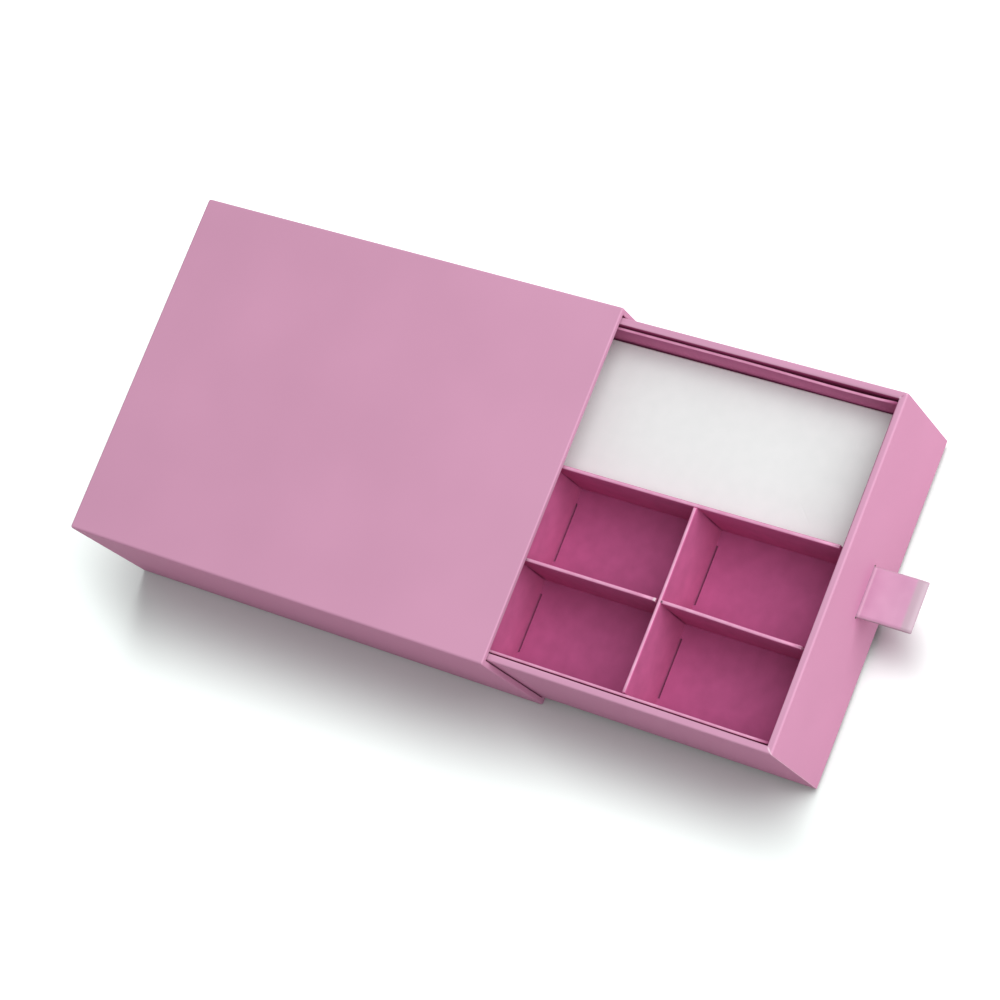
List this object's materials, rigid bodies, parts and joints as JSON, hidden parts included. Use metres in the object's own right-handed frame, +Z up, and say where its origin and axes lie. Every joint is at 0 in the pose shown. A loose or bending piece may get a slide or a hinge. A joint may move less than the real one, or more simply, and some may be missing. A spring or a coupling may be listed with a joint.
{
  "type": "sliding drawer gift box",
  "caption": "Paper-covered sleeve box with a sliding drawer, a ribbon pull, a card tray with half-lapped dividers, and a long compartment with a raised card floor.",
  "frame": {"origin": "middle of the sleeve's underside, on the surface that it stands on", "axes": "+Z up, -Y the way the drawer pulls out, +X the side of the long compartment"},
  "size_m": [0.15, 0.3458, 0.062],
  "materials": {
    "outer_paper": "pink matt-laminated covering paper, with a faint satin sheen",
    "lining_paper": "the same pink paper on the inner faces, matt",
    "greyboard": "plain grey board, rough, with layered raw edges",
    "insert_card": "pink folding card, matt, with paler raw cut edges",
    "white_card": "uncoated white card, matt, lightly creased",
    "ribbon": "pink double-faced satin ribbon with woven edges"
  },
  "bodies": {
    "sleeve": {"sleeve_top_board": "greyboard", "sleeve_bottom_board": "greyboard", "sleeve_left_board": "greyboard", "sleeve_right_board": "greyboard", "sleeve_back_board": "greyboard", "sleeve_wrap": "outer_paper", "sleeve_lining": "lining_paper", "sleeve_base_sheet": "outer_paper", "sleeve_back_sheet": "outer_paper"},
    "drawer": {"drawer_front_board": "greyboard", "drawer_back_board": "greyboard", "drawer_left_board": "greyboard", "drawer_right_board": "greyboard", "drawer_base_board": "greyboard", "drawer_wrap": "outer_paper", "drawer_lining": "lining_paper", "insert_tray": "insert_card", "long_divider": "insert_card", "row_divider": "insert_card", "front_cell_divider": "insert_card", "back_cell_divider": "insert_card", "long_floor_riser": "insert_card", "front_floor_riser": "insert_card", "back_floor_riser": "insert_card", "platform_card": "white_card", "ribbon_tails": "ribbon", "ribbon_patch": "lining_paper"},
    "pull": {"ribbon_loop": "ribbon"}
  },
  "joints": [
    {"name": "drawer_slide", "type": "slide", "parent": "sleeve", "child": "drawer", "axis": [0, -1, 0], "range_m": [-0.122, 0.07]},
    {"name": "pull_flex", "type": "hinge", "parent": "drawer", "child": "pull", "pos_m": [0.0013, -0.22285, 0.028], "axis": [-1, 0, 0], "range_deg": [-70, 60]}
  ]
}
